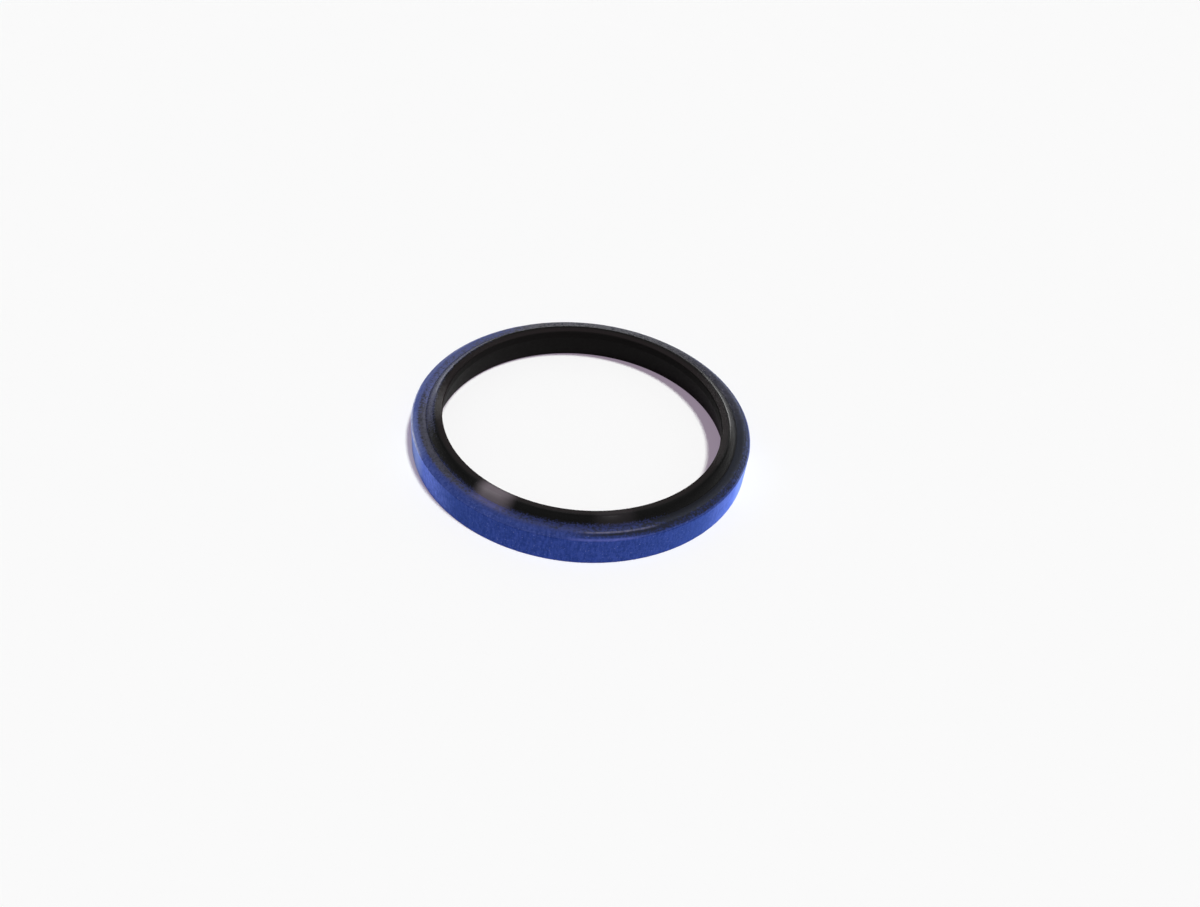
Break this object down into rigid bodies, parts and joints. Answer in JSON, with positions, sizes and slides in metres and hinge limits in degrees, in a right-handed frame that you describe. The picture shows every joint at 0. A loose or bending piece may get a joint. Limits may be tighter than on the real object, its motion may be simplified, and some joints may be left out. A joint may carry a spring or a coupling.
{
  "type": "shaft seal",
  "caption": "Ring-shaped shaft seal: a pressed steel case with a blue coated outer wall and a bonded black rubber lip that stands above the steel face.",
  "frame": {"origin": "centre of the back, in the plane of the wall's cut edge, on the shaft's axis", "axes": "+Z along the shaft's axis, out of the back and through the lip's side; X and Y are any two directions across it"},
  "size_m": [0.072, 0.072, 0.0081],
  "materials": {
    "coated_steel": "blue lacquer on the outer wall, satin, thinning to a grey speckle over the chamfer and the steel face",
    "black_rubber": "smooth moulded black rubber with a soft gloss"
  },
  "bodies": {
    "root": {"metal_case": "coated_steel", "rubber_lip": "black_rubber"}
  },
  "joints": []
}
